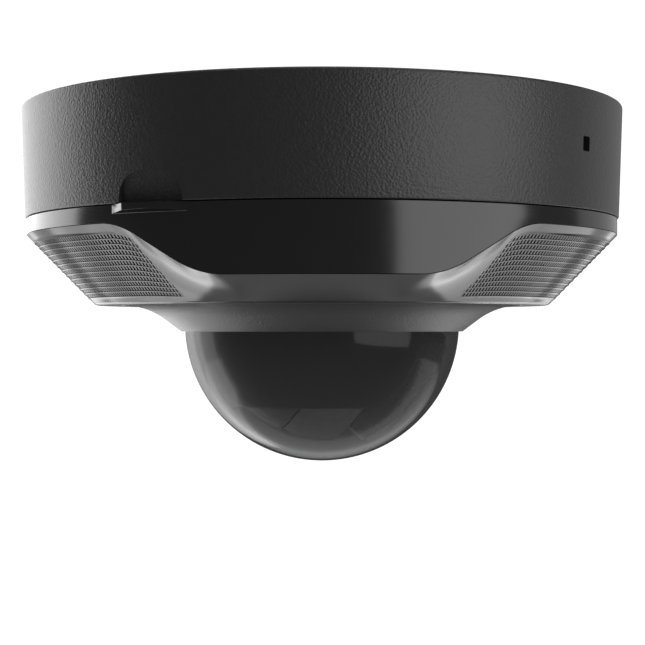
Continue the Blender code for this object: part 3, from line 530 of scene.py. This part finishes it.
def tab_reach(bearing):
    """How far the pull tab stands out."""
    rise = (bearing - TAB_LEFT) / (TAB_LEFT_CORNER - TAB_LEFT)
    fall = eased((TAB_RIGHT - bearing) / TAB_FADE)
    return TAB_OUT * min(1.0, max(0.0, min(rise, fall)))


def cover_bearings():
    """Even bearings, with finer ones at the panel corners and across the pull tab."""
    lead, fine_step, fine_count = 3.5, 0.375, 64
    tab_steps = 48
    bearings = set(steps(240, -180.0, 180.0))
    for middle in (0.0, 180.0):
        for side in (-1, 1):
            for step in range(fine_count):
                spot = middle + side * (PANEL_ANGLE - lead + step * fine_step)
                bearings.add(round(wrapped(spot), 4))
    bearings.update((TAB_LEFT, TAB_LEFT_CORNER, TAB_RIGHT_CORNER, TAB_RIGHT))
    width = TAB_RIGHT - TAB_LEFT
    bearings.update(TAB_LEFT + width * step / tab_steps for step in range(tab_steps + 1))
    return sorted(bearings)


def make_band():
    """The glossy band under the seam: a plain wall with fine fillets and the pull tab."""
    seam_inside = BAND_INSIDE - 0.6
    fillets = {0: 0.1, 1: 0.04, 2: 0.1, 4: 0.08, 8: 0.2}    # corner of the outline: radius

    def outline(bearing):
        foot = panel_edge(bearing) + LINE_GAP / 2
        reach = tab_reach(bearing)
        along = min(1.0, max(0.0, (bearing - TAB_LEFT) / (TAB_RIGHT_CORNER - TAB_LEFT)))
        undercut = (TAB_UNDERCUT + TAB_UNDERCUT_GAIN * along) * reach / TAB_OUT
        return rounded([
            (WALL_RADIUS + reach, BAND_TOP),
            (WALL_RADIUS + TAB_DRAFT * reach, TAB_FOOT + undercut),
            (WALL_RADIUS, TAB_FOOT - TAB_ROOT),
            (WALL_RADIUS, TAB_FOOT - TAB_ROOT_END),
            (WALL_RADIUS, foot),
            (BAND_INSIDE, foot),
            (BAND_INSIDE, LIP_FOOT),
            (LIP_RADIUS, LIP_FOOT),
            (LIP_RADIUS, LIP_TOP),
            (seam_inside, LIP_TOP),
            (seam_inside, BAND_TOP),
        ], fillets)

    band = sweep("cover_wall", outline, cover_bearings(), 40.0)
    stands_for(band, "cover", "cover_gloss", "cover_band")


def field_start(share):
    """Angle from the front or back middle where the slits begin."""
    across = (share - FIELD_TOP) / (FIELD_FOOT - FIELD_TOP)
    return FIELD_START_TOP + (FIELD_START_FOOT - FIELD_START_TOP) * across


def column_lines():
    """(bearing, kind) pairs around the whole ring, each SOLID or SLIT."""
    lines = []
    margin = min(FIELD_START_TOP, FIELD_START_FOOT) - FIELD_MARGIN
    half = COLUMN_PITCH * SLIT_SHARE / 2
    count = int((90.0 - margin) / COLUMN_PITCH)
    for side in (90.0, -90.0):
        for column in range(-count, count + 1):
            middle = side + column * COLUMN_PITCH
            lines += [(middle - half - WALL_SLANT, SOLID), (middle - half, SLIT)]
            lines += [(middle + half, SLIT), (middle + half + WALL_SLANT, SOLID)]
    for middle in (0.0, 180.0):
        for step in range(-STRIP_STEPS, STRIP_STEPS + 1):
            lines.append((wrapped(middle + step * margin / STRIP_STEPS), SOLID))
    unique = {round(bearing, 4): kind for bearing, kind in lines}
    return sorted(unique.items())


def row_lines():
    """(share of the slope, kind) pairs from its edge inwards, each SOLID, SLIT or RIB."""
    pitch = (FIELD_FOOT - FIELD_TOP) / ROWS
    thin = pitch * (1.0 - SLIT_LENGTH) / 2
    crest = thin * RIB_CREST
    lines = [(share, SOLID) for share in (*SHARES_ABOVE_FIELD, FIELD_TOP - FIELD_BORDER)]
    for row in range(ROWS):
        start = FIELD_TOP + row * pitch
        lines += [(start, RIB), (start + crest, RIB), (start + thin, SLIT)]
        lines += [(start + pitch - thin, SLIT), (start + pitch - crest, RIB)]
    lines.append((FIELD_FOOT, RIB))
    lines += [(share, SOLID) for share in (FIELD_FOOT + FIELD_BORDER, *SHARES_BELOW_FIELD)]
    return lines


def slope_point(edge, soft_edge, share):
    """A point on the slope, which starts at edge and turns into the softer fold further in."""
    radius = WALL_RADIUS + (UNDERSIDE_RADIUS - WALL_RADIUS) * share
    start = edge + (soft_edge - edge) * eased(share / SLOPE_BLEND)
    return Vector((radius, start + (UNDERSIDE - start) * share))


def make_grille():
    """The sloping ring: smooth strips front and back, perforated fields left and right."""
    rows = row_lines()
    run = WALL_RADIUS - UNDERSIDE_RADIUS
    thickness, chamfer, neck = 2.2, 0.2, 0.7
    rim_reach, rim_steps = 0.45, 4
    shelf = UNDERSIDE + 1.6
    flange_top = LIP_FOOT - 0.4
    flange_outer = BAND_INSIDE - 0.3
    flange_inner = flange_outer - 1.3

    def outline_at(bearing, column):
        edge = panel_edge(bearing) - LINE_GAP / 2
        soft_edge = panel_edge(bearing, SLOPE_WINDOW) - LINE_GAP / 2
        drop = edge - UNDERSIDE
        slope = drop / run
        outward = Vector((drop, -run)).normalized()
        points = []
        for share, row in rows:
            inside = eased((off_axis(bearing) - field_start(share)) / FIELD_FADE)
            offset = 0.0
            if row == RIB:
                offset = RIB_HEIGHT * inside
            if row == SLIT and column == SLIT:
                offset = -SLIT_DEPTH * inside
            points.append(tuple(slope_point(edge, soft_edge, share) + outward * offset))
        tip = slope_point(edge, soft_edge, 1.0)
        for step in range(rim_steps + 1):
            turn = step / rim_steps
            near = tip + Vector((rim_reach, rim_reach * slope)) * (1 - turn)
            far = tip + Vector((-rim_reach, 0.0)) * turn
            points.append(tuple(near.lerp(far, turn)))
        inner_corner = edge - slope * (WALL_RADIUS - flange_inner) + thickness
        points += [
            (TRIM_OPENING + chamfer, UNDERSIDE),
            (TRIM_OPENING, UNDERSIDE + chamfer),
            (TRIM_OPENING, shelf),
            (UNDERSIDE_RADIUS - neck, shelf),
            (flange_inner, inner_corner),
            (flange_inner, flange_top),
            (flange_outer, flange_top),
            (flange_outer, edge),
        ]
        return points

    columns = dict(column_lines())
    grille = sweep("grille_slope", lambda bearing: outline_at(bearing, columns[bearing]),
                   list(columns), 24.0)
    stands_for(grille, "cover", "grille_plastic", "grille_ring")


def make_trim():
    """The hollow textured ring around the dome: a curved skirt, the dome's seat and a flange."""
    slope = math.radians(TRIM_SLOPE)
    bend_steps = 14
    rim, rim_rise = 0.12, 0.09
    seat_radius, seat_height = 34.0, -39.3
    shelf_radius, shelf_height = 38.4, -36.4
    flange_radius, flange_top, flange_foot = 43.0, -35.8, -37.0
    curve = []
    for step in range(bend_steps + 1):
        angle = slope * step / bend_steps
        curve.append((
            TRIM_RADIUS - TRIM_ARC * math.sin(angle),
            UNDERSIDE - TRIM_ARC * (1.0 - math.cos(angle)),
        ))
    foot = curve[-1][1] - (curve[-1][0] - TRIM_MOUTH) * math.tan(slope)
    trim = turned("trim_skirt", curve + [
        (TRIM_MOUTH + rim, foot + rim_rise),
        (TRIM_MOUTH, foot + rim),
        (TRIM_MOUTH, seat_height),
        (seat_radius, seat_height),
        (seat_radius, shelf_height),
        (shelf_radius, shelf_height),
        (shelf_radius, flange_top),
        (flange_radius, flange_top),
        (flange_radius, flange_foot),
        (TRIM_RADIUS, flange_foot),
    ])
    stands_for(trim, "cover", "trim_plastic", "trim_ring")


def make_dome():
    """The smoked bubble and its flange."""
    flange_foot, flange_edge = -38.0, 0.2
    arc_steps = 40
    outer = arc((0.0, BALL_Z), DOME_RADIUS, -90.0, 0.0, arc_steps)
    inner = arc((0.0, BALL_Z), DOME_INSIDE, 0.0, -90.0, arc_steps)
    outer[0] = (0.0, outer[0][1])       # exactly on the axis, so that the pole is shared
    inner[-1] = (0.0, inner[-1][1])
    high = node_box("dome_bubble")[1]
    flange = rounded([
        (DOME_RADIUS, flange_foot), (high.x, flange_foot), (high.x, high.z), (DOME_INSIDE, high.z),
    ], {1: flange_edge, 2: flange_edge})
    dome = turned("dome_glass", outer + flange + inner, 160)
    dome.visible_shadow = False
    stands_for(dome, "cover", "smoked_dome", "dome_bubble")


# ---------------------------------------------------------------- inside the dome

LENS_AXIS = (Matrix.Translation((0.0, 0.0, BALL_Z * MM))
             @ Matrix.Rotation(math.radians(90.0 + LENS_TILT), 4, "Y"))


def about_lens(piece):
    """Turn a piece made about +Z onto the lens axis."""
    piece.data.transform(LENS_AXIS)
    return piece


def at_ball(piece):
    """Lift a piece made about the origin to the ball's centre."""
    piece.data.transform(Matrix.Translation((0.0, 0.0, BALL_Z * MM)))
    return piece


def make_liner():
    """The smooth shroud, open below and towards the lens, with a fine fillet on its rim."""
    top, drop, rim_fillet = -27.0 - BALL_Z, 16.0, 0.3
    mouth_x, mouth_z, mouth_radius, mouth_top = 3.5, 3.4, 20.1, -1.9
    slot_half_width, slot_back, slot_foot, slot_top = 15.7, 10.0, -18.0, 8.0
    wall_steps, mouth_steps = 20, 40
    outer_end = -math.degrees(math.asin(drop / LINER_RADIUS))
    inner_end = -math.degrees(math.asin(drop / LINER_INSIDE))
    outline = [(LINER_INSIDE, top), (LINER_RADIUS, top)]
    outline += arc((0.0, 0.0), LINER_RADIUS, 0.0, outer_end, wall_steps)
    outline += arc((0.0, 0.0), LINER_INSIDE, inner_end, 0.0, wall_steps)
    liner = turned("liner_shroud", outline, 160)
    far = 2 * LINER_RADIUS
    end = math.degrees(math.asin((mouth_top - mouth_z) / mouth_radius))
    mouth = arc((mouth_x, mouth_z), mouth_radius, -90.0, end, mouth_steps)
    mouth += [(far, mouth[-1][1]), (far, -far), (mouth_x, -far)]
    cut(liner, prism("mouth_cutter", mouth, 3 * LINER_RADIUS))
    slot = [(slot_back, slot_foot), (far, slot_foot), (far, slot_top), (slot_back, slot_top)]
    cut(liner, prism("slot_cutter", slot, 2 * slot_half_width))
    soften(liner, rim_fillet)
    at_ball(liner)
    stands_for(liner, "pan", "liner_black", "liner")


def soften(piece, width):
    """A small fillet on every sharp edge."""
    fillet = piece.modifiers.new("fillet", "BEVEL")
    fillet.width = width * MM
    fillet.segments = 2
    fillet.limit_method = "ANGLE"
    fillet.angle_limit = math.radians(50.0)
    bake_modifiers(piece)


def latitude(radius, forward):
    """The angle on a sphere at a distance forward of its centre."""
    return math.degrees(math.asin(forward / radius))


def make_rear_shell():
    """The eyeball's smooth rear shell, open behind for the cable and rounded at its front rim."""
    hole, rim = 5.0, 6.5
    rim_round, rim_chamfer, rim_slant = 0.35, 0.12, 0.1
    inner = REAR_RADIUS - SHELL_WALL
    outline = arc((0.0, 0.0), REAR_RADIUS, -math.degrees(math.acos(hole / REAR_RADIUS)),
                  latitude(REAR_RADIUS, rim - rim_round), 40)
    rim_radius = math.sqrt(REAR_RADIUS ** 2 - rim ** 2)
    outline += [(rim_radius - rim_chamfer, rim - rim_slant), (rim_radius - rim_round, rim)]
    outline += arc((0.0, 0.0), inner, latitude(inner, rim),
                   -math.degrees(math.acos(hole / inner)), 30)
    shell = about_lens(turned("eyeball_rear", outline, 160))
    stands_for(shell, "tilt", "liner_black", "ball_rear_shell")


def make_front_shell():
    """The eyeball's turning front: sleeve, groove, pebbled zone and flat face."""
    inner = FRONT_RADIUS - SHELL_WALL
    face, face_back, opening = 16.3, 14.9, 8.6
    face_edge, face_edge_width = 0.12, 0.35
    face_radius = 16.45
    sleeve_back, sleeve_radius, sleeve_inside, sleeve_front = 3.0, 19.9, 18.6, 8.2
    groove_back, groove_front, groove_radius, groove_edge = 6.8, 8.8, 21.3, 0.1
    zone_back, zone_trim, inner_trim = 9.05, 0.8, 1.0
    start = latitude(FRONT_RADIUS, zone_back)
    end = latitude(FRONT_RADIUS, face)
    outline = [
        (sleeve_radius, sleeve_back),
        (sleeve_radius, groove_back),
        (groove_radius - groove_edge, groove_back),
        (groove_radius, groove_back + groove_edge),
        (groove_radius, groove_front),
    ]
    outline += arc((0.0, 0.0), FRONT_RADIUS, start, end - zone_trim, 16)
    outline += [
        (face_radius, face - face_edge),
        (face_radius - face_edge_width, face),
        (opening, face),
        (opening, face_back),
    ]
    outline += arc((0.0, 0.0), inner, latitude(inner, face_back), start + inner_trim, 8)
    outline += [(sleeve_inside, sleeve_front), (sleeve_inside, sleeve_back)]
    shell = about_lens(turned("eyeball_front", outline, 160, 24.0))
    stands_for(shell, "lens", "ball_texture", "ball_front_shell")


def bezel_reach(bearing):
    """Distance from the lens axis to the bezel's rounded-rectangle edge."""
    half_height, half_width, corner = 13.2, 10.0, 5.0
    tiny = 1e-6                 # keeps the division sound along the axes
    angle = math.radians(bearing)
    up, side = abs(math.sin(angle)), abs(math.cos(angle))
    flat_up, flat_side = half_height - corner, half_width - corner
    reach = min(half_height / max(up, tiny), half_width / max(side, tiny))
    if reach * up > flat_up and reach * side > flat_side:
        middle = flat_up * up + flat_side * side
        reach = middle + math.sqrt(middle ** 2 - flat_up ** 2 - flat_side ** 2 + corner ** 2)
    return reach


def make_bezel():
    """The block around the lens, rounded off in front to follow the dome."""
    back, front = 16.6, 22.7
    limit = 25.3                # the sphere that the block stays inside
    bore, mouth, mouth_depth, mouth_edge = 7.3, 8.2, 0.5, 0.4
    back_edge, shoulder_drop, face_margin, swell = 0.15, 0.5, 0.6, 0.25
    brow_steps = 8

    def outline(bearing):
        reach = bezel_reach(bearing)
        shoulder = min(front - shoulder_drop, math.sqrt(limit ** 2 - reach ** 2))
        face_reach = min(reach - face_margin, math.sqrt(limit ** 2 - front ** 2))
        points = [(bore, back), (reach - back_edge, back), (reach, back + back_edge)]
        for step in range(brow_steps + 1):
            share = step / brow_steps
            radius = reach + (face_reach - reach) * share
            forward = min(shoulder + (front - shoulder) * eased(share) + swell,
                          math.sqrt(limit ** 2 - radius ** 2), front)
            points.append((radius, forward))
        points += [(mouth, front), (mouth - mouth_edge, front - mouth_depth),
                   (bore, front - mouth_depth)]
        return points

    bezel = about_lens(sweep("lens_block", outline, steps(160), 28.0))
    stands_for(bezel, "lens", "bezel_black", "lens_bezel")


def make_barrel():
    """The lens barrel, with a chamfered front edge."""
    bore, radius, back, front = 5.0, 6.8, -3.0, 22.9
    outer_chamfer, outer_slant, inner_chamfer = 0.2, 0.3, 0.6
    barrel = about_lens(turned("barrel_tube", [
        (bore, back),
        (radius, back),
        (radius, front - outer_slant),
        (radius - outer_chamfer, front),
        (bore + inner_chamfer, front),
        (bore, front - inner_chamfer),
    ], 96))
    stands_for(barrel, "lens", "bezel_black", "lens_barrel")


def make_glass():
    """The domed front glass."""
    radius, edge_back, edge_front, crown = 4.7, 20.8, 21.8, 1.2
    back_middle, dome_steps = 20.4, 10
    outline = [(0.0, back_middle), (radius, edge_back), (radius, edge_front)]
    for step in range(1, dome_steps):
        angle = math.radians(90 * step / dome_steps)
        outline.append((radius * math.cos(angle), edge_front + crown * math.sin(angle)))
    outline.append((0.0, edge_front + crown))
    glass = about_lens(turned("glass_front", outline, 96))
    stands_for(glass, "lens", "lens_glass", "front_lens")


def make_lens_ring():
    """The ring around the glass, stepped down towards it."""
    back, front = 23.2, 24.2
    radius, bore = 9.3, 5.4
    shoulder, first_step, second_step, lip = 23.7, 23.9, 23.7, 23.5
    outline = rounded([
        (bore, back),
        (radius, back),
        (radius, shoulder),
        (8.2, front),
        (7.2, front),
        (7.0, first_step),
        (6.6, first_step),
        (6.4, second_step),
        (6.0, second_step),
        (bore, lip),
    ], {2: 0.15, 3: 0.2, 4: 0.1})
    ring = about_lens(turned("ring_front", outline, 128))
    stands_for(ring, "lens", "bezel_black", "lens_ring")


def dress_cad_nodes():
    """Give every CAD node the material of its slot."""
    slots = {part["node"]: part["material_slot"] for part in frame["record"]["subparts"]}
    for name, node in frame["nodes"].items():
        node.data.materials.clear()
        node.data.materials.append(MATERIALS[slots[name]])


# ---------------------------------------------------------------- studio

def panel(name, place, size, aim, radiance, receivers):
    """A soft rectangular light of a given brightness that only lights the receivers."""
    light = bpy.data.lights.new(name, "AREA")
    light.shape = "RECTANGLE"
    light.size, light.size_y = size
    light.energy = radiance * size[0] * size[1] * math.pi
    lamp = bpy.data.objects.new(name, light)
    lamp.location = place
    lamp.rotation_euler = (Vector(aim) - Vector(place)).to_track_quat("-Z", "Y").to_euler()
    lamp.visible_camera = False
    bpy.context.scene.collection.objects.link(lamp)
    group = bpy.data.collections.new(name + "_receivers")
    for piece in receivers:
        group.objects.link(bpy.data.objects[piece])
    lamp.light_linking.receiver_collection = group


def ramp(tree, source, start, end, first, last):
    """A smooth step from first to last as the source goes from start to end."""
    made = tree.nodes.new("ShaderNodeMapRange")
    made.interpolation_type = "SMOOTHSTEP"
    made.inputs["From Min"].default_value = start
    made.inputs["From Max"].default_value = end
    made.inputs["To Min"].default_value = first
    made.inputs["To Max"].default_value = last
    link(tree, source, made.inputs["Value"])
    return made.outputs["Result"]


def make_world():
    """White surroundings for the camera, and dim ones for light and reflections."""
    white = (1.0, 1.0, 1.0, 1.0)
    world = bpy.data.worlds.new("studio")
    world.use_nodes = True
    tree = world.node_tree
    tree.nodes.clear()
    out = tree.nodes.new("ShaderNodeOutputWorld")
    seen = add(tree, "ShaderNodeBackground", Strength=WORLD_SEEN, Color=white)
    dim = add(tree, "ShaderNodeBackground", Color=white)
    place = tree.nodes.new("ShaderNodeTexCoord")
    split = tree.nodes.new("ShaderNodeSeparateXYZ")
    link(tree, place.outputs["Generated"], split.inputs["Vector"])
    rising = ramp(tree, split.outputs["Z"], -0.9, 0.1, WORLD_BELOW, WORLD_LEVEL)
    behind = ramp(tree, split.outputs["Y"], 0.2, 0.9, 1.0, WORLD_BACK)
    both = tree.nodes.new("ShaderNodeMath")
    both.operation = "MULTIPLY"
    link(tree, rising, both.inputs[0])
    link(tree, behind, both.inputs[1])
    link(tree, both.outputs["Value"], dim.inputs["Strength"])
    path = tree.nodes.new("ShaderNodeLightPath")
    mix = tree.nodes.new("ShaderNodeMixShader")
    link(tree, path.outputs["Is Camera Ray"], mix.inputs["Fac"])
    link(tree, dim.outputs["Background"], mix.inputs[1])
    link(tree, seen.outputs["Background"], mix.inputs[2])
    link(tree, mix.outputs["Shader"], out.inputs["Surface"])
    bpy.context.scene.world = world
    bpy.context.scene.view_settings.view_transform = "Standard"


def make_lights():
    """Soft panels for the reflections of the pieces they light, and a fill for the CAD nodes."""
    upper = ("drum_shell", "cover_wall", "trim_skirt")
    shell = upper + ("grille_slope",)
    ball = ("eyeball_rear", "eyeball_front", "lens_block", "barrel_tube", "ring_front",
            "glass_front")
    carried = tuple(node.name for node in frame["nodes"].values() if not node.hide_render)
    aim = (0.0, 0.0, -0.04)
    left_back, left_size = (-0.87, 0.84, 0.0), (1.5, 1.3)
    dome_left_back, dome_left_aim = (-0.87, 0.84, -0.25), (0.0, 0.0, -0.25)
    right_front, right_size = (0.79, -0.61, 0.05), (0.98, 0.8)
    out, low = 0.87, -0.9
    fill_size = (1.4, 1.4)
    panel("left_back", left_back, left_size, aim, 3.6, upper)
    panel("left_back_soft", left_back, left_size, aim, 0.6, ("grille_slope", "liner_shroud"))
    panel("left_back_dome", dome_left_back, (1.5, 1.7), dome_left_aim, 0.5, ("dome_glass",))
    panel("right_front", right_front, right_size, aim, 2.7, shell)
    panel("right_front_soft", right_front, right_size, aim, 0.45, ("dome_glass",))
    panel("right_back", (0.9, 0.9, 0.0), (1.2, 1.2), aim, 0.5, shell)
    for side, name, near, far in ((-1, "left", 2.6, 1.7), (1, "right", 2.0, 1.9)):
        panel("below_" + name, (side * out, 0.3, low), (0.9, 0.9),
              (side * out, 0.3, 0.0), near, shell)
        panel("below_back_" + name, (side * out, 1.25, low), (0.9, 1.0),
              (side * out, 1.25, 0.0), far, shell)
    panel("below_middle", (0.0, 0.3, low), (0.84, 1.8), (0.0, 0.3, 0.0), 0.24, shell)
    panel("below_dome", (0.0, 1.1, low), (5.0, 1.5), (0.0, 1.1, 0.0), 0.26, ("dome_glass",))
    panel("back_line", (0.0, 1.5, -0.55), (1.6, 0.7), aim, 1.1, ("grille_slope",))
    panel("inner_glow", (0.05, -0.6, -0.65), (1.6, 1.2), aim, 2.4, ball)
    panel("liner_glow", (0.05, -0.3, low), (1.6, 1.2), aim, 0.5, ("liner_shroud",))
    panel("fill_front", (-0.5, -1.0, -0.6), fill_size, aim, 2.0, carried)
    panel("fill_back", (0.6, 1.0, -0.4), fill_size, aim, 2.0, carried)
    panel("fill_top", (0.0, 0.0, 1.2), (1.6, 1.6), aim, 1.2, carried + ("drum_shell",))


def make_floor():
    """A plain pale floor well below the object, which doesn't light it or show in it."""
    half_size, height = 30.0, -1.0
    mesh_data = bmesh.new()
    bmesh.ops.create_grid(mesh_data, x_segments=8, y_segments=8, size=half_size)
    bmesh.ops.translate(mesh_data, vec=(0.0, 0.0, height), verts=mesh_data.verts)
    floor = as_object("floor", mesh_data)
    paint = surface("floor_paint", grey(0.86), grey(0.9), 0.7, grain=3.0)
    shader = paint.node_tree.nodes["Principled BSDF"]
    shader.inputs["Emission Color"].default_value = (1.0, 1.0, 1.0, 1.0)
    shader.inputs["Emission Strength"].default_value = 1.0
    floor.data.materials.append(paint)
    floor.visible_glossy = False
    floor.visible_diffuse = False
    floor.visible_transmission = False


def make_camera():
    """The photograph's view: straight on and level with the lower part, from 0.32 m."""
    sideways, distance, drop, pitch = 0.0001, 0.3244, 0.0435, 0.215
    data = bpy.data.cameras.new("view")
    data.lens = 89.2
    data.sensor_width = 36.0
    data.clip_start = 0.01
    data.clip_end = 200.0
    camera = bpy.data.objects.new("view", data)
    camera.location = (sideways, -distance, -drop)
    camera.rotation_euler = (math.radians(90.0 + pitch), 0.0, 0.0)
    bpy.context.scene.collection.objects.link(camera)
    bpy.context.scene.camera = camera


make_camera()
dress_cad_nodes()
make_drum()
make_band()
make_grille()
make_trim()
make_dome()
make_liner()
make_rear_shell()
make_front_shell()
make_bezel()
make_barrel()
make_glass()
make_lens_ring()
make_world()
make_lights()
make_floor()
